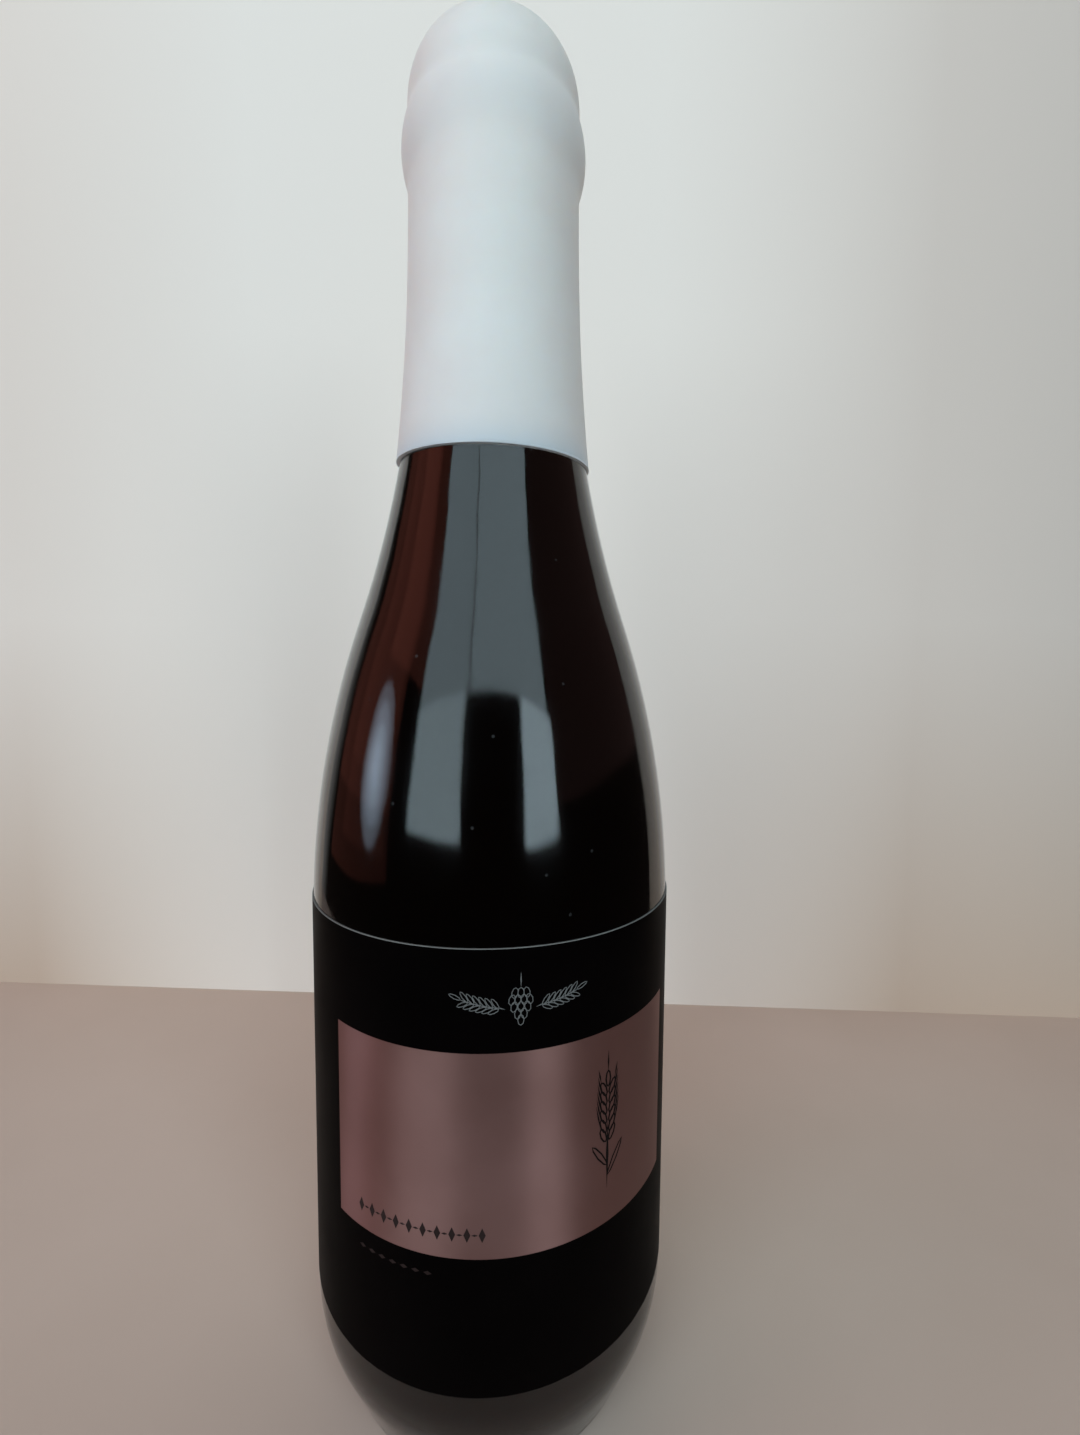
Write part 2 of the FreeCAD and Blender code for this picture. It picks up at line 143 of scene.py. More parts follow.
def lathe(name, path):
    """Draws a point out along an outline, spins it round the bottle's axis and closes the form."""
    bpy.ops.object.select_all(action="DESELECT")
    bpy.ops.mesh.primitive_plane_add(size=0.001, location=(path[0][0], 0, path[0][1]))
    piece = bpy.context.object
    piece.name = piece.data.name = name
    bpy.ops.object.mode_set(mode="EDIT")
    bpy.ops.mesh.merge(type="CENTER")
    for before, after in zip(path, path[1:]):
        step = (after[0] - before[0], 0, after[1] - before[1])
        bpy.ops.mesh.extrude_region_move(TRANSFORM_OT_translate={"value": step})
    bpy.ops.mesh.select_all(action="SELECT")
    bpy.ops.mesh.spin(steps=round_parts, angle=2 * math.pi, center=(0, 0, 0), axis=(0, 0, 1))
    bpy.ops.mesh.select_all(action="SELECT")
    bpy.ops.mesh.remove_doubles(threshold=same_place)
    bpy.ops.mesh.normals_make_consistent(inside=False)
    bpy.ops.object.mode_set(mode="OBJECT")
    bpy.ops.object.transform_apply(location=True, rotation=True, scale=True)
    bpy.ops.object.shade_smooth_by_angle(angle=smooth_under)
    return piece


def new_material(name, finish):
    """A material with this finish, its node tree and its Principled shader."""
    material = bpy.data.materials.new(name)
    material.use_nodes = True
    shader = material.node_tree.nodes["Principled BSDF"]
    for socket, value in finish.items():
        shader.inputs[socket].default_value = value
    return material, material.node_tree, shader


def add_node(tree, kind, values=(), **settings):
    """Adds a node. Each value is a socket with a number, a colour or another node's output."""
    node = tree.nodes.new(kind)
    for key, value in settings.items():
        setattr(node, key, value)
    for socket, value in values:
        if isinstance(value, bpy.types.NodeSocket):
            tree.links.new(value, node.inputs[socket])
        else:
            node.inputs[socket].default_value = value
    return node


def spread(tree, value, low, high, first, last):
    """A value between low and high becomes one between first and last."""
    node = add_node(
        tree, "ShaderNodeMapRange",
        [("Value", value), ("From Min", low), ("From Max", high),
         ("To Min", first), ("To Max", last)],
    )
    return node.outputs["Result"]


def colours(tree, share, first, second):
    """Goes from the first colour to the second."""
    node = add_node(
        tree, "ShaderNodeMix", [(0, share), (6, first), (7, second)], data_type="RGBA"
    )
    return node.outputs[2]


def new_group(name, inputs, outputs):
    """An empty node group with number inputs and outputs, and its two end nodes."""
    group = bpy.data.node_groups.new(name, "ShaderNodeTree")
    for label, kind, value in inputs:
        socket = group.interface.new_socket(label, in_out="INPUT", socket_type=kind)
        if value is not None:
            socket.default_value = value
    for label, kind in outputs:
        group.interface.new_socket(label, in_out="OUTPUT", socket_type=kind)
    return group, group.nodes.new("NodeGroupInput"), group.nodes.new("NodeGroupOutput")


FLOAT, VECTOR = "NodeSocketFloat", "NodeSocketVector"

# Unevenness: soft clouds for tone and gloss, and a height for bumps made of
# long swells with a little fine grain on them.
unevenness, given, result = new_group(
    "unevenness",
    [("Place", VECTOR, None), ("Cloud Scale", FLOAT, 40.0), ("Swell Scale", FLOAT, 60.0),
     ("Grain Scale", FLOAT, 900.0), ("Grain Share", FLOAT, 0.2)],
    [("Clouds", FLOAT), ("Height", FLOAT)],
)
clouds = add_node(
    unevenness, "ShaderNodeTexNoise",
    [("Vector", given.outputs["Place"]), ("Scale", given.outputs["Cloud Scale"]), ("Detail", 4.0)],
)
swell = add_node(
    unevenness, "ShaderNodeTexNoise",
    [("Vector", given.outputs["Place"]), ("Scale", given.outputs["Swell Scale"]), ("Detail", 1.0)],
)
grain = add_node(
    unevenness, "ShaderNodeTexNoise",
    [("Vector", given.outputs["Place"]), ("Scale", given.outputs["Grain Scale"]), ("Detail", 3.0)],
)
grain_height = add_node(
    unevenness, "ShaderNodeMath",
    [(0, grain.outputs["Fac"]), (1, given.outputs["Grain Share"]), (2, swell.outputs["Fac"])],
    operation="MULTIPLY_ADD",
)
unevenness.links.new(
    spread(unevenness, clouds.outputs["Fac"], 0.3, 0.7, 0.0, 1.0), result.inputs["Clouds"]
)
unevenness.links.new(grain_height.outputs["Value"], result.inputs["Height"])

# Specks: scattered dust and pits, as a mask that is 1 on a speck.
specks, given, result = new_group(
    "specks",
    [("Place", VECTOR, None), ("Scale", FLOAT, 150.0), ("Size", FLOAT, 0.05), ("Kept", FLOAT, 0.2)],
    [("Specks", FLOAT)],
)
cells = add_node(
    specks, "ShaderNodeTexVoronoi",
    [("Vector", given.outputs["Place"]), ("Scale", given.outputs["Scale"])],
)
near = add_node(
    specks, "ShaderNodeMath", [(0, cells.outputs["Distance"]), (1, given.outputs["Size"])],
    operation="LESS_THAN",
)
tone = add_node(specks, "ShaderNodeSeparateColor", [("Color", cells.outputs["Color"])])
chosen = add_node(
    specks, "ShaderNodeMath", [(0, tone.outputs["Red"]), (1, given.outputs["Kept"])],
    operation="LESS_THAN",
)
both = add_node(
    specks, "ShaderNodeMath", [(0, near.outputs["Value"]), (1, chosen.outputs["Value"])],
    operation="MULTIPLY",
)
specks.links.new(both.outputs["Value"], result.inputs["Specks"])


def add_group(tree, group, place, **values):
    """Places a node group, with its own values for this material. An underscore stands for a
    space."""
    node = add_node(tree, "ShaderNodeGroup", node_tree=group)
    tree.links.new(place, node.inputs["Place"])
    for label, value in values.items():
        node.inputs[label.replace("_", " ")].default_value = value
    return node


def bump(tree, shader, height, strength, distance):
    """Gives the shader a bumped surface."""
    node = add_node(
        tree, "ShaderNodeBump", [("Height", height), ("Strength", strength), ("Distance", distance)]
    )
    tree.links.new(node.outputs["Normal"], shader.inputs["Normal"])


glass_path = [(0.0, punt_height)]
turn(glass_path, punt_radius, 0, punt_turn, 24)
turn(glass_path, toe_radius, punt_turn, 0, 8)
run(glass_path, glass_path[-1][0] + standing_ring, 0.0)
turn(glass_path, foot_radius, 0, heel_lean, 6)
heel_foot = glass_path[-1]
heel_bend = heel_top - heel_radius * math.cos(math.radians(heel_lean))
run(
    glass_path,
    heel_foot[0] + (heel_bend - heel_foot[1]) / math.tan(math.radians(heel_lean)),
    heel_bend,
    4,
)
turn(glass_path, heel_radius, heel_lean, 90, 10)
run(glass_path, body_radius, shoulder_start, 12)
turn(glass_path, shoulder_radius, 90, shoulder_lean, 24)
turn(glass_path, sweep_radius, shoulder_lean, neck_lean, 24)
run(glass_path, neck_radius, neck_top, 4)
run(glass_path, collar_radius, collar_low)
run(glass_path, collar_radius, collar_high)
run(glass_path, lip_radius, lip_low)
run(glass_path, lip_radius, glass_height - lip_rounding, 2)
glass_outside = glass_path[glass_path.index(heel_foot):]
turn(glass_path, lip_rounding, 90, 180, 5)
run(glass_path, bore_radius, glass_height)

floor_path = [(0.0, floor_top)]
turn(floor_path, floor_radius, 0, floor_turn, 14)
turn(floor_path, corner_radius, floor_turn, 90, 10)
run(floor_path, body_radius - glass_wall, shoulder_start, 10)
turn(floor_path, shoulder_radius - glass_wall, 90, inner_lean, 24)
turn(floor_path, inner_sweep_radius, inner_lean, 90, 24)
run(floor_path, bore_radius, glass_height)

glass = lathe("glass_bottle_turned", glass_path[:-1] + floor_path[::-1])

glass_material, tree, shader = new_material("dark_amber_glass", {
    "Base Color": (1.0, 0.97, 0.93, 1), "Transmission Weight": 1.0, "IOR": 1.52,
    "Specular IOR Level": 0.36, "Coat Roughness": 0.7,
})
place = add_node(tree, "ShaderNodeTexCoord").outputs["Object"]
surface = add_group(
    tree, unevenness, place,
    Cloud_Scale=45.0, Swell_Scale=70.0, Grain_Scale=260.0, Grain_Share=0.02,
)
tree.links.new(
    spread(tree, surface.outputs["Clouds"], 0.0, 1.0, 0.05, 0.12), shader.inputs["Roughness"]
)
dust = add_group(tree, specks, place, Scale=260.0, Size=0.07, Kept=0.12)
tree.links.new(dust.outputs["Specks"], shader.inputs["Coat Weight"])
parts = add_node(tree, "ShaderNodeSeparateXYZ", [("Vector", place)])
aside = add_node(tree, "ShaderNodeMath", [(0, parts.outputs["Y"])], operation="ABSOLUTE")
seam = spread(tree, aside.outputs["Value"], 0.0, seam_width / 2, 1.0, 0.0)
round_angle = add_node(
    tree, "ShaderNodeMath", [(0, parts.outputs["Y"]), (1, parts.outputs["X"])], operation="ARCTAN2"
)
knurl_turn = add_node(
    tree, "ShaderNodeMath", [(0, round_angle.outputs["Value"]), (1, knurl_count)],
    operation="MULTIPLY",
)
knurl_wave = add_node(tree, "ShaderNodeMath", [(0, knurl_turn.outputs["Value"])], operation="SINE")
knurl_band = spread(tree, parts.outputs["Z"], knurl_top, knurl_end, 1.0, 0.0)
knurls = add_node(
    tree, "ShaderNodeMath", [(0, knurl_wave.outputs["Value"]), (1, knurl_band)],
    operation="MULTIPLY",
)
moulded = add_node(
    tree, "ShaderNodeMath", [(0, seam), (1, 0.5), (2, knurls.outputs["Value"])],
    operation="MULTIPLY_ADD",
)
height = add_node(
    tree, "ShaderNodeMath", [(0, moulded.outputs["Value"]), (1, surface.outputs["Height"])],
    operation="ADD",
)
bump(tree, shader, height.outputs["Value"], 0.3, 0.0004)
amber = add_node(
    tree, "ShaderNodeVolumeAbsorption", [("Color", (0.60, 0.20, 0.05, 1)), ("Density", 700.0)]
)
tree.links.new(amber.outputs["Volume"], tree.nodes["Material Output"].inputs["Volume"])
glass.data.materials.append(glass_material)

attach(glass, "root")
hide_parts("glass_bottle")


# ---------------------------------------------------------------- beer
# The drink, a dark red-brown beer that lets next to no light through. It
# fills the bottle to its level in the neck, and reaches just into the wall.

beer_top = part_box("beer")[1].z
into_wall = 0.0003

beer_path = [(0.0, floor_top - into_wall)]
turn(beer_path, floor_radius - into_wall, 0, floor_turn, 14)
turn(beer_path, corner_radius + into_wall, floor_turn, 90, 10)
run(beer_path, body_radius - glass_wall + into_wall, shoulder_start, 10)
turn(beer_path, shoulder_radius - glass_wall + into_wall, 90, inner_lean, 24)
turn(beer_path, inner_sweep_radius - into_wall, inner_lean, 90, 24)
beer_path = [point for point in beer_path if point[1] < beer_top]
run(beer_path, beer_path[-1][0], beer_top)
run(beer_path, 0.0, beer_top, 4)
beer = lathe("beer_fill", beer_path)

beer_material, tree, shader = new_material("dark_red_beer", {
    "Roughness": 0.6, "Specular IOR Level": 0.0,
})
place = add_node(tree, "ShaderNodeTexCoord").outputs["Object"]
surface = add_group(tree, unevenness, place, Cloud_Scale=25.0)
tree.links.new(
    colours(
        tree, surface.outputs["Clouds"], (0.0030, 0.0009, 0.0005, 1), (0.0046, 0.0014, 0.0007, 1)
    ),
    shader.inputs["Base Color"],
)
beer.data.materials.append(beer_material)

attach(beer, "root")
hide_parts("beer")


# ---------------------------------------------------------------- label
# A wrap-round label of 0.2 mm coated paper: black, with a panel of rose
# metal foil across its front. It is printed flat, then rolled on the bottle,
# and its ends stay a little apart at the back.

label_low, label_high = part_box("label")
label_radius = -label_low.y
label_parts = 200                       # parts across the label, so that it bends smoothly
paper_thickness = 0.0002
glue_thickness = 0.00003
ink_height = 0.00003                    # how far the drawn ornament stands above the paper
face_radius = label_radius - ink_height
label_gap = math.radians(9.0)
label_width = (2 * math.pi - label_gap) * face_radius
bare_margin = 0.00010                   # unprinted paper along the upper cut
panel_height = 0.0335
panel_top = label_high.z - 0.0165
panel_bottom = panel_top - panel_height
panel_reach = math.radians(54.5) * face_radius


def print_material(name, low, high, roughness, gloss, metal, drawn=0.0):
    """A printed or foiled face of the label: two near tones, a fine paper grain and a soft gloss,
    which is drawn out upwards on foil."""
    material, tree, shader = new_material(name, {
        "Metallic": metal, "Specular IOR Level": gloss,
        "Anisotropic": drawn, "Anisotropic Rotation": 0.25,
    })
    place = add_node(tree, "ShaderNodeTexCoord").outputs["Object"]
    surface = add_group(
        tree, unevenness, place,
        Cloud_Scale=70.0, Swell_Scale=160.0, Grain_Scale=2600.0, Grain_Share=0.5,
    )
    tree.links.new(colours(tree, surface.outputs["Clouds"], low, high), shader.inputs["Base Color"])
    tree.links.new(
        spread(tree, surface.outputs["Clouds"], 0.0, 1.0, roughness - 0.03, roughness + 0.04),
        shader.inputs["Roughness"],
    )
    bump(tree, shader, surface.outputs["Height"], 0.12, 0.00005)
    return material


black_print = print_material(
    "satin_black_print", (0.0012, 0.0008, 0.0008, 1), (0.0020, 0.0013, 0.0013, 1),
    roughness=0.42, gloss=0.01, metal=0.0,
)
rose_foil = print_material(
    "rose_metal_foil", (0.235, 0.118, 0.104, 1), (0.275, 0.142, 0.127, 1),
    roughness=0.46, gloss=0.4, metal=0.80, drawn=0.9,
)
bare_paper = print_material(
    "bare_paper_edge", (0.20, 0.195, 0.185, 1), (0.26, 0.255, 0.24, 1),
    roughness=0.8, gloss=0.2, metal=0.0,
)


def roll_on(piece, radius):
    """Bends a flat printed piece, which stands this far in front of the axis, round the bottle."""
    bpy.ops.object.select_all(action="DESELECT")
    piece.select_set(True)
    bpy.context.view_layer.objects.active = piece
    bpy.context.scene.cursor.location = (0, -radius, 0)
    bpy.ops.object.origin_set(type="ORIGIN_CURSOR")
    across = [vertex.co.x for vertex in piece.data.vertices]
    roll = piece.modifiers.new("roll", "SIMPLE_DEFORM")
    roll.deform_method = "BEND"
    roll.deform_axis = "Z"
    roll.angle = (max(across) - min(across)) / radius
    bpy.ops.object.modifier_apply(modifier=roll.name)
    bpy.context.scene.cursor.location = (0, 0, 0)
    bpy.ops.object.origin_set(type="ORIGIN_CURSOR")
    bpy.ops.object.transform_apply(location=True, rotation=True, scale=True)


bpy.ops.object.select_all(action="DESELECT")
bpy.ops.mesh.primitive_grid_add(
    x_subdivisions=label_parts, y_subdivisions=1, size=1,
    location=(0, -face_radius, (label_low.z + label_high.z) / 2), rotation=(math.radians(90), 0, 0),
)
label = bpy.context.object
label.name = label.data.name = "label_wrap"
label.scale = (label_width, label_high.z - label_low.z, 1)
bpy.ops.object.transform_apply(location=True, rotation=True, scale=True)
bpy.ops.object.mode_set(mode="EDIT")
for plane_co, plane_no in (
    ((0, 0, panel_top), (0, 0, 1)), ((0, 0, panel_bottom), (0, 0, 1)),
    ((0, 0, label_high.z - bare_margin), (0, 0, 1)),
    ((-panel_reach, 0, 0), (1, 0, 0)), ((panel_reach, 0, 0), (1, 0, 0)),
):
    bpy.ops.mesh.select_all(action="SELECT")
    bpy.ops.mesh.bisect(plane_co=plane_co, plane_no=plane_no)
bpy.ops.object.mode_set(mode="OBJECT")
for material in (black_print, rose_foil, bare_paper):
    label.data.materials.append(material)
for face in label.data.polygons:
    across, up = face.center.x, face.center.z
    if panel_bottom < up < panel_top and abs(across) < panel_reach:
        face.material_index = 1
    elif up > label_high.z - bare_margin:
        face.material_index = 2
sheet = label.modifiers.new("paper", "SOLIDIFY")
sheet.thickness = paper_thickness + glue_thickness
sheet.offset = -1.0
sheet.use_even_offset = True
bpy.ops.object.modifier_apply(modifier=sheet.name)
for face in label.data.polygons:
    if face.normal.y > -0.5:            # its cut edges and its back are bare
        face.material_index = 2
roll_on(label, face_radius)
bpy.ops.object.shade_smooth_by_angle(angle=math.radians(30))

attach(label, "root")
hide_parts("label")


# ---------------------------------------------------------------- label ornament
# Line ornament printed on the label: two barley ears and a hop cone in pale
# grey ink above the panel, a tall barley ear and a row of lozenges in dark
# ink on the foil, and short dashes under it.

ink_sunk = 0.00002                      # how far the ink reaches into the paper
strip_width = 0.001                     # a drawing is cut this fine, so that it bends smoothly
pale_line = 0.00012
ear_line = 0.00030

pale_ink = print_material(
    "pale_grey_ink", (0.14, 0.135, 0.13, 1), (0.20, 0.195, 0.19, 1),
    roughness=0.6, gloss=0.1, metal=0.0,
)
dark_ink = print_material(
    "dark_line_ink", (0.004, 0.003, 0.003, 1), (0.006, 0.0045, 0.0045, 1),
    roughness=0.5, gloss=0.05, metal=0.0,
)
dim_ink = print_material(
    "dim_brown_ink", (0.020, 0.012, 0.011, 1), (0.028, 0.017, 0.016, 1),
    roughness=0.5, gloss=0.05, metal=0.0,
)


def leaf(across, up, length, width, lean, line=0.0, points=8):
    """A flat leaf that grows from its foot and leans this many degrees from upright. With a line
    width it is an outline, and with four points a lozenge."""
    bpy.ops.object.select_all(action="DESELECT")
    bpy.ops.mesh.primitive_circle_add(vertices=points, radius=0.5, fill_type="NGON")
    drawn = bpy.context.object
    drawn.matrix_world = (
        Matrix.Translation((across, -face_radius - ink_height, up))
        @ Matrix.Rotation(math.radians(lean), 4, "Y")
        @ Matrix.Translation((0, 0, length / 2))
        @ Matrix.Rotation(math.radians(90), 4, "X")
        @ Matrix.Diagonal((width, length, 1, 1))
    )
    bpy.ops.object.transform_apply(location=True, rotation=True, scale=True)
    if line:
        bpy.ops.object.mode_set(mode="EDIT")
        bpy.ops.mesh.inset(thickness=line, use_even_offset=False)
        bpy.ops.mesh.delete(type="FACE")
        bpy.ops.object.mode_set(mode="OBJECT")
    return drawn


def print_on(name, drawing, ink):
    """Joins the parts of a drawing, cuts it into narrow strips, gives it the ink's thickness and
    rolls it on the label."""
    bpy.ops.object.select_all(action="DESELECT")
    for drawn in drawing:
        drawn.select_set(True)
    piece = drawing[0]
    bpy.context.view_layer.objects.active = piece
    bpy.ops.object.join()
    piece.name = piece.data.name = name
    places = [vertex.co.x for vertex in piece.data.vertices]
    bpy.ops.object.mode_set(mode="EDIT")
    for strip in range(
        math.ceil(min(places) / strip_width), math.ceil(max(places) / strip_width)
    ):
        bpy.ops.mesh.select_all(action="SELECT")
        bpy.ops.mesh.bisect(plane_co=(strip * strip_width, 0, 0), plane_no=(1, 0, 0))
    bpy.ops.object.mode_set(mode="OBJECT")
    film = piece.modifiers.new("film", "SOLIDIFY")
    film.thickness = ink_height + ink_sunk
    film.offset = -1.0
    bpy.ops.object.modifier_apply(modifier=film.name)
    roll_on(piece, label_radius)
    piece.data.materials.append(ink)
    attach(piece, "root")


# The mark: a curved stalk with leaves to each side, and the hop's scales in rows.
mark_height = label_high.z - 0.0085
stalk_start, stalk_step, stalk_leaves = 0.0024, 0.00095, 7
stalk_sag, stalk_curve = 0.0012, 20.0   # how low the stalk starts, and how it rises outwards
scale_fan = 16000                       # degrees that a hop scale turns for each metre aside
drawing = []
for side in (-1, 1):
    for step in range(stalk_leaves):
        along = stalk_start + stalk_step * step
        rise = mark_height - stalk_sag + stalk_curve * along ** 2
        drawing.append(leaf(
            side * along, rise, length=0.0014, width=0.00016, lean=side * 72, points=4
        ))
        if step:
            for lean, length in ((36, 0.0021), (112, 0.0019)):
                drawing.append(leaf(
                    side * along, rise, length, width=0.00072, lean=side * lean, line=pale_line
                ))
    drawing.append(leaf(
        side * 0.0092, mark_height + 0.0005, length=0.0021, width=0.0007, lean=side * 66,
        line=pale_line,
    ))
for up, places in (
    (0.0023, (-0.00075, 0, 0.00075)), (0.0012, (-0.0011, -0.0004, 0.0004, 0.0011)),
    (0.0001, (-0.00085, 0, 0.00085)), (-0.0010, (-0.0004, 0.0004)), (-0.0020, (0,)),
):
    for along in places:
        drawing.append(leaf(
            along, mark_height + up, length=0.0018, width=0.0011, lean=180 - along * scale_fan,
            line=pale_line,
        ))
drawing.append(leaf(0, mark_height + 0.0022, length=0.0026, width=0.0002, lean=0, points=4))
print_on("hop_and_barley_mark", drawing, pale_ink)

# The tall ear: its stalk, two leaves, six pairs of grains with their awns, and the tip.
ear_across, ear_foot = 0.0158, panel_bottom + 0.0060
grain_step, grain_rows = 0.00160, 6
drawing = [leaf(ear_across, ear_foot, length=0.0120, width=0.00055, lean=0, points=4)]
for up, length, lean in ((0.0022, 0.0062, 34), (0.0040, 0.0056, -36)):
    drawing.append(leaf(ear_across, ear_foot + up, length, width=0.0012, lean=lean, line=0.00026))
for step in range(grain_rows):
    up = ear_foot + 0.0082 + grain_step * step
    for side in (-1, 1):
        drawing.append(leaf(
            ear_across + side * 0.0003, up, length=0.0030, width=0.00135, lean=side * 25,
            line=ear_line,
        ))
        drawing.append(leaf(
            ear_across + side * 0.0015, up + 0.0025, length=0.0046 - 0.0004 * step,
            width=ear_line, lean=side * 13, points=4,
        ))
drawing.append(leaf(
    ear_across, ear_foot + 0.0176, length=0.0030, width=0.0013, lean=0, line=ear_line
))
drawing.append(leaf(
    ear_across, ear_foot + 0.0202, length=0.0036, width=ear_line, lean=0, points=4
))
print_on("tall_barley_ear", drawing, dark_ink)

row_height = panel_bottom + 0.0040
row_step, lozenge_count = 0.0024, 10
drawing = []
for step in range(lozenge_count):
    drawing.append(leaf(
        -0.0275 + row_step * step, row_height - 0.0012, length=0.0024, width=0.0011, lean=0,
        points=4,
    ))
    if step < lozenge_count - 1:
        drawing.append(leaf(
            -0.0268 + row_step * step, row_height, length=0.0010, width=0.00035, lean=90, points=4
        ))
print_on("lozenge_row", drawing, dim_ink)

dash_step, dash_count = 0.0021, 7
drawing = []
for step in range(dash_count):
    drawing.append(leaf(
        -0.0280 + dash_step * step, panel_bottom - 0.0031, length=0.0014, width=0.0007, lean=90,
        points=4,
    ))
print_on("short_dashes", drawing, dim_ink)


# ---------------------------------------------------------------- wax
# The neck and the crimped cap are dipped in soft white wax. It hangs smooth
# over the collar as a ring, domes over the cap, and ends in a thin rounded
# edge that runs a little aslant, because the bottle was dipped by hand.

wax_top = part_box("wax_seal")[1].z
wax_edge = 0.17795
wax_slant = math.tan(math.radians(0.6))
wax_dip_forward = math.tan(math.radians(4.0))
wax_lean_top = 0.205                    # the slant starts at this height and is full
wax_lean_depth = 0.025                  # this far under it
wax_crown = 0.030                       # radii of the curves from the top down, and the
wax_shoulder = 0.0134                   # directions in which they end, in degrees
wax_crown_turn = -10.41
wax_side = 0.0012                       # the straight bit above the ring
wax_blend = 0.008
wax_ring = 0.015
wax_ring_parts = 14
wax_above_ring = -71.41
wax_below_ring = -109.36
wax_skirt = 0.458
wax_skirt_turn = -83.66
wax_rounding = 0.00020
wax_fill = 0.85                         # how full the hollow under the ring is in front
wax_fill_foot = 0.204
wax_fill_left = 0.12                    # the fill is thickest this far left of the front,
wax_fill_narrowing = 1.3                # and thins out to the sides
into_glass = 0.00008
off_glass = 0.0001                      # wax further out than this is the outer skin

wax_path = [(0.0, wax_top)]
turn(wax_path, wax_crown, 0, wax_crown_turn, 8)
turn(wax_path, wax_shoulder, wax_crown_turn, -90, 20)
run(wax_path, wax_path[-1][0], wax_path[-1][1] - wax_side)
turn(wax_path, wax_blend, -90, wax_above_ring, 6)
turn(wax_path, wax_ring, wax_above_ring, wax_below_ring, wax_ring_parts)
ring_most = max(wax_path[-wax_ring_parts:])
turn(wax_path, wax_blend, wax_below_ring, -90, 6)
turn(wax_path, wax_skirt, -90, wax_skirt_turn, 26)
skirt = wax_path
wax_path = [point for point in skirt if point[1] > wax_edge + wax_rounding]
above, below = skirt[len(wax_path) - 1:len(wax_path) + 1]
share = (above[1] - wax_edge - wax_rounding) / (above[1] - below[1])
run(wax_path, above[0] + (below[0] - above[0]) * share, wax_edge + wax_rounding)
turn(wax_path, wax_rounding, wax_skirt_turn, -180, 5)


def across_at(path, height):
    """How far from the axis an outline that only rises is, at a height."""
    for before, after in zip(path, path[1:]):
        if before[1] <= height <= after[1]:
            share = (height - before[1]) / max(after[1] - before[1], 1e-9)
            return before[0] + (after[0] - before[0]) * share
    return path[-1][0]


run(wax_path, across_at(glass_outside, wax_path[-1][1]) - into_glass, wax_path[-1][1], 2)
wax_path += [(across - into_glass, up) for across, up in glass_outside if up > wax_edge + 0.001]
run(wax_path, lip_radius - lip_rounding, glass_height)
run(wax_path, 0.0, glass_height, 3)
wax = lathe("wax_dip", wax_path)

fill_foot_radius = across_at(skirt[::-1], wax_fill_foot)
outer_skin = wax.vertex_groups.new(name="outer_skin")
for vertex in wax.data.vertices:
    across = math.hypot(vertex.co.x, vertex.co.y)
    skin = across_at(glass_outside, vertex.co.z)
    if vertex.co.z > glass_height + off_glass or across > skin + off_glass:
        outer_skin.add([vertex.index], 1.0, "REPLACE")
    risen = (vertex.co.z - wax_fill_foot) / (ring_most[1] - wax_fill_foot)
    if 0.0 < risen < 1.0 and across > skin + off_glass:
        filled = fill_foot_radius + (ring_most[0] - fill_foot_radius) * risen
        in_front = max((-vertex.co.y - wax_fill_left * vertex.co.x) / across, 0.0)
        in_front = in_front ** wax_fill_narrowing
        thicker = 1.0 + (max(filled / across, 1.0) - 1.0) * wax_fill * in_front
        vertex.co.x *= thicker
        vertex.co.y *= thicker
    low_down = min(max((wax_lean_top - vertex.co.z) / wax_lean_depth, 0.0), 1.0)
    vertex.co.z += (vertex.co.y * wax_dip_forward - vertex.co.x * wax_slant) * low_down
    if across <= skin + off_glass and vertex.co.z < neck_top:
        tuck = (across_at(glass_outside, vertex.co.z) - into_glass) / across
        vertex.co.x *= tuck
        vertex.co.y *= tuck

flow = bpy.data.textures.new("wax_flow", "CLOUDS")
flow.noise_scale = 0.034
flow.noise_depth = 1
unequal = wax.modifiers.new("unequal", "DISPLACE")
unequal.texture = flow
unequal.texture_coords = "LOCAL"
unequal.direction = "NORMAL"
unequal.mid_level = 1.0
unequal.strength = 0.00035
unequal.vertex_group = outer_skin.name
bpy.context.view_layer.objects.active = wax
bpy.ops.object.modifier_apply(modifier=unequal.name)

wax_material, tree, shader = new_material("soft_white_wax", {
    "Subsurface Weight": 0.35, "Subsurface Scale": 0.003, "Subsurface Radius": (1.0, 0.75, 0.6),
    "Specular IOR Level": 0.35, "IOR": 1.45,
})
place = add_node(tree, "ShaderNodeTexCoord").outputs["Object"]
surface = add_group(
    tree, unevenness, place,
    Cloud_Scale=90.0, Swell_Scale=220.0, Grain_Scale=1500.0, Grain_Share=0.25,
)
dirt = add_group(tree, specks, place, Scale=160.0, Size=0.05, Kept=0.10)
body_tone = colours(
    tree, surface.outputs["Clouds"], (0.94, 0.835, 0.78, 1), (0.97, 0.88, 0.825, 1)
)
parts = add_node(tree, "ShaderNodeSeparateXYZ", [("Vector", place)])
sideways = add_node(
    tree, "ShaderNodeMath", [(0, parts.outputs["X"]), (1, wax_slant), (2, parts.outputs["Z"])],
    operation="MULTIPLY_ADD",
)
aslant = add_node(
    tree, "ShaderNodeMath",
    [(0, parts.outputs["Y"]), (1, -wax_dip_forward), (2, sideways.outputs["Value"])],
    operation="MULTIPLY_ADD",
)
thin_depth = 0.007                      # the edge is thin, and cooler in tone, up to here
thin = spread(tree, aslant.outputs["Value"], wax_edge, wax_edge + thin_depth, 1.0, 0.0)
edge_tone = colours(tree, thin, (0.94, 0.84, 0.785, 1), (0.71, 0.73, 0.75, 1))
tone = colours(tree, thin, body_tone, edge_tone)
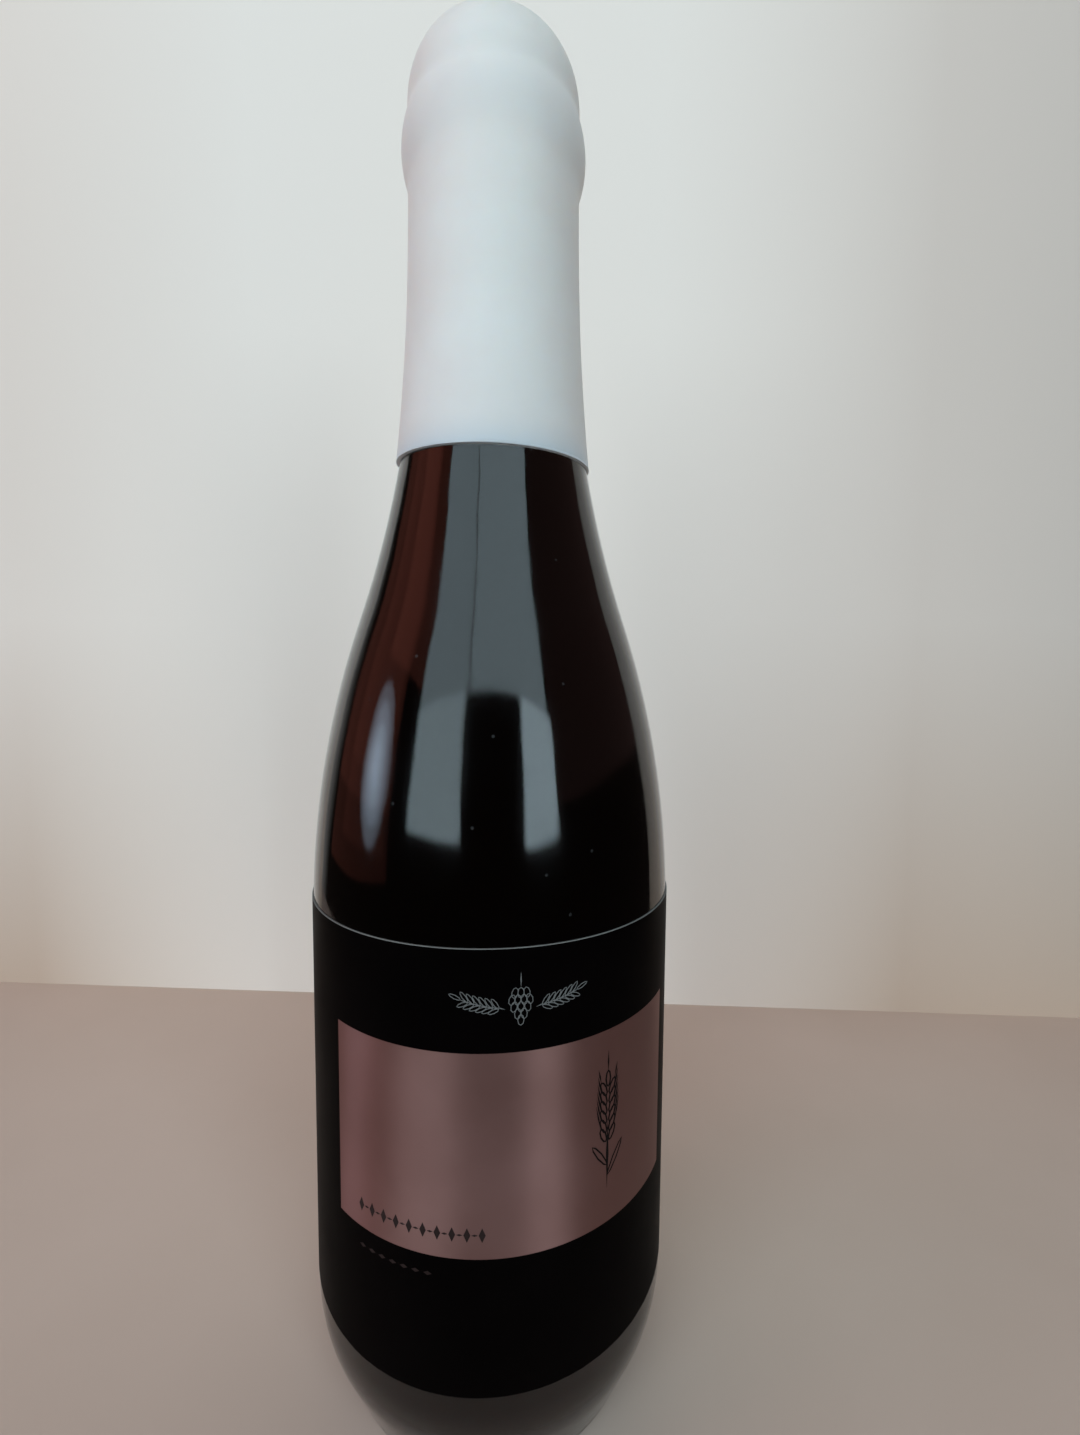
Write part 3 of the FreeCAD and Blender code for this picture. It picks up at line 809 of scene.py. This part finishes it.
mottle = add_node(
    tree, "ShaderNodeTexNoise", [("Vector", place), ("Scale", 420.0), ("Detail", 3.0)]
)
mottled = colours(
    tree, spread(tree, mottle.outputs["Fac"], 0.40, 0.62, 0.0, 1.0),
    (0.94, 0.85, 0.79, 1), (0.88, 0.81, 0.72, 1),
)
mottle_start, mottle_full = wax_top - 0.012, wax_top - 0.003
crown = spread(tree, parts.outputs["Z"], mottle_start, mottle_full, 0.0, 0.85)
tone = colours(tree, crown, tone, mottled)
tree.links.new(
    colours(tree, dirt.outputs["Specks"], tone, (0.25, 0.20, 0.15, 1)), shader.inputs["Base Color"]
)
tree.links.new(
    spread(tree, surface.outputs["Clouds"], 0.0, 1.0, 0.48, 0.60), shader.inputs["Roughness"]
)
bump(tree, shader, surface.outputs["Height"], 0.12, 0.0003)
wax.data.materials.append(wax_material)

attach(wax, "root")
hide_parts("wax_seal")


# ---------------------------------------------------------------- floor and backdrop
# A pale board to stand on, with its front corners rounded, and a pale wall
# close behind, with painted shade low down and to the right and a painted
# pool of light straight behind the bottle. Each is seen from its front alone,
# so that the wall hides nothing from behind and the board nothing from below.

floor_width = 0.54
floor_depth = 0.60
floor_middle = 0.15                     # behind the bottle's axis
floor_corner = 0.15
wall_width = 0.50
wall_height = 0.65
wall_turn = math.radians(-14.16)
wall_away = 0.1313
wall_aside = -0.005


def show_from_the_front(tree, shader):
    """Makes a sheet clear from behind."""
    behind = add_node(tree, "ShaderNodeNewGeometry").outputs["Backfacing"]
    clear = add_node(tree, "ShaderNodeBsdfTransparent").outputs["BSDF"]
    sided = add_node(
        tree, "ShaderNodeMixShader", [(0, behind), (1, shader.outputs["BSDF"]), (2, clear)]
    )
    tree.links.new(sided.outputs["Shader"], tree.nodes["Material Output"].inputs["Surface"])


bpy.ops.object.select_all(action="DESELECT")
bpy.ops.mesh.primitive_plane_add(size=1.0, location=(0, floor_middle, 0))
floor = bpy.context.object
floor.name = "pale_floor"
floor.scale = (floor_width, floor_depth, 1)
bpy.ops.object.transform_apply(location=True, rotation=True, scale=True)
bpy.ops.object.mode_set(mode="EDIT")
bpy.ops.mesh.select_mode(type="VERT")
bpy.ops.mesh.select_all(action="DESELECT")
bpy.ops.object.mode_set(mode="OBJECT")
for corner in floor.data.vertices:
    corner.select = corner.co.y < 0
bpy.ops.object.mode_set(mode="EDIT")
bpy.ops.mesh.bevel(offset=floor_corner, segments=16, affect="VERTICES")
bpy.ops.object.mode_set(mode="OBJECT")
floor_material, tree, shader = new_material("pale_floor", {
    "Roughness": 0.7, "Specular IOR Level": 0.2,
})
place = add_node(tree, "ShaderNodeTexCoord").outputs["Object"]
surface = add_group(tree, unevenness, place, Cloud_Scale=9.0, Grain_Scale=500.0)
tree.links.new(
    colours(tree, surface.outputs["Clouds"], (0.62, 0.48, 0.40, 1), (0.67, 0.525, 0.445, 1)),
    shader.inputs["Base Color"],
)
show_from_the_front(tree, shader)
floor.data.materials.append(floor_material)

bpy.ops.mesh.primitive_plane_add(size=1.0)
wall = bpy.context.object
wall.name = "pale_backdrop"
wall.matrix_world = (
    Matrix.Rotation(wall_turn, 4, "Z")
    @ Matrix.Translation((wall_aside, wall_away, wall_height / 2))
    @ Matrix.Rotation(math.radians(90), 4, "X")
    @ Matrix.Diagonal((wall_width, wall_height, 1, 1))
)
bpy.ops.object.transform_apply(location=True, rotation=True, scale=True)
wall_material, tree, shader = new_material("pale_wall", {
    "Roughness": 0.9, "Specular IOR Level": 0.1,
})
place = add_node(tree, "ShaderNodeTexCoord").outputs["Object"]
surface = add_group(tree, unevenness, place, Cloud_Scale=4.0)
parts = add_node(tree, "ShaderNodeSeparateXYZ", [("Vector", place)])
# Painted shade: the wall is darker towards its bottom and towards its right, where less light falls
# on it.
low_down = spread(tree, parts.outputs["Z"], 0.0, 0.16, 1.0, 0.0)
painted_shade_right = spread(tree, parts.outputs["X"], 0.06, 0.24, 0.0, 1.0)
tone = colours(tree, surface.outputs["Clouds"], (0.92, 0.765, 0.67, 1), (0.95, 0.795, 0.70, 1))
tone = colours(tree, painted_shade_right, tone, (0.73, 0.61, 0.535, 1))
tone = colours(tree, low_down, tone, (0.58, 0.425, 0.33, 1))
# Painted light: the wall is paler straight behind the bottle, to lift the shadow that the bottle
# casts on it.
off_middle = add_node(tree, "ShaderNodeMath", [(0, parts.outputs["X"])], operation="ABSOLUTE")
painted_light_behind = spread(tree, off_middle.outputs["Value"], 0.08, 0.18, 1.0, 0.0)
tree.links.new(colours(tree, painted_light_behind, tone, (1.0, 0.88, 0.79, 1)), shader.inputs["Base Color"])
show_from_the_front(tree, shader)
wall.data.materials.append(wall_material)


# ---------------------------------------------------------------- light
# A wide window of four panes in front, a soft-edged one to the left with warm,
# dim screens round it, and a faint warm corner to the right. The room itself
# is dark, so that the black glass stays black.

lamp_level = 0.13                       # the height from which directions are measured


def lamp(name, left, right, low, high, away, facing, colour, brightness, shape="RECTANGLE"):
    """A flat lamp that faces the bottle. Its sides, and its top and bottom where it is nearest, lie
    in these directions, in degrees from the front and from level."""
    near, far = (away * math.tan(math.radians(side - facing)) for side in (left, right))
    bottom, top = (away * math.tan(math.radians(side)) for side in (low, high))
    bpy.ops.object.light_add(type="AREA")
    light = bpy.context.object
    light.name = name
    light.data.shape = shape
    light.data.size = far - near
    light.data.size_y = top - bottom
    light.data.color = colour
    light.data.energy = brightness * math.pi * light.data.size * light.data.size_y
    light.matrix_world = (
        Matrix.Rotation(math.radians(facing), 4, "Z")
        @ Matrix.Translation(((near + far) / 2, -away, lamp_level + (bottom + top) / 2))
        @ Matrix.Rotation(math.radians(90), 4, "X")
    )


daylight = (0.77, 0.98, 1.08)
side_daylight = (0.75, 1.0, 1.25)
lamplight = (1.0, 0.30, 0.21)
for pane, left, right, low, high, brightness in (
    ("upper_left", -60, -25.5, 27, 58, 2.0), ("upper_right", -24.5, 31.2, 27, 58, 2.2),
    ("lower_left", -60, -27, -3, 27, 3.1), ("lower_right", 12, 33.2, -4, 27, 4.4),
):
    lamp("window_pane_" + pane, left, right, low, high, 1.3, -13, daylight, brightness)
for share in (0.35, 0.65, 0.95, 1.25):
    lamp(
        "side_window", -87 - 9 * share, -87 + 9 * share, 6 - 11 * share, 6 + 11 * share,
        1.2 + share / 20, -87, side_daylight, 0.85, "ELLIPSE",
    )
for low in (-13, -1):
    lamp("warm_screen", -124, -73, low, 62, 1.8 + low / 200, -98, lamplight, 0.13)
    lamp("warm_middle", -112, -76, low + 5, 62, 1.8 - low / 200, -98, lamplight, 0.09)
lamp("warm_upper", -96, -60, 24, 62, 1.8, -80, lamplight, 0.30)
lamp("warm_corner", 33, 112, 4, 66, 1.8, 75, (1.0, 0.55, 0.50), 0.08)

# The room: pale where it is seen straight, through the glass or mirrored from
# behind the bottle, and a dim, warm light on everything else.
world = bpy.data.worlds.new("room")
bpy.context.scene.world = world
world.use_nodes = True
tree = world.node_tree
room = tree.nodes["Background"]
room.inputs["Color"].default_value = (1.0, 0.75, 0.65, 1)
room.inputs["Strength"].default_value = 0.02
pale = add_node(tree, "ShaderNodeBackground", [("Color", (0.86, 0.85, 0.83, 1)), ("Strength", 0.9)])
place = add_node(tree, "ShaderNodeTexCoord").outputs["Generated"]
direction = add_node(tree, "ShaderNodeSeparateXYZ", [("Vector", place)])
beyond = spread(tree, direction.outputs["Y"], 0.6, 0.9, 0.0, 1.0)
ray = add_node(tree, "ShaderNodeLightPath")
mirrored = add_node(
    tree, "ShaderNodeMath", [(0, ray.outputs["Is Glossy Ray"]), (1, beyond)], operation="MULTIPLY"
)
through = add_node(
    tree, "ShaderNodeMath",
    [(0, ray.outputs["Is Transmission Ray"]), (1, mirrored.outputs["Value"])],
    operation="MAXIMUM",
)
seen = add_node(
    tree, "ShaderNodeMath", [(0, ray.outputs["Is Camera Ray"]), (1, through.outputs["Value"])],
    operation="MAXIMUM",
)
sky = add_node(
    tree, "ShaderNodeMixShader",
    [(0, seen.outputs["Value"]), (1, room.outputs["Background"]), (2, pale.outputs["Background"])],
)
tree.links.new(sky.outputs["Shader"], tree.nodes["World Output"].inputs["Surface"])

bpy.context.scene.view_settings.view_transform = "Standard"


# ---------------------------------------------------------------- update

bpy.context.view_layer.update()
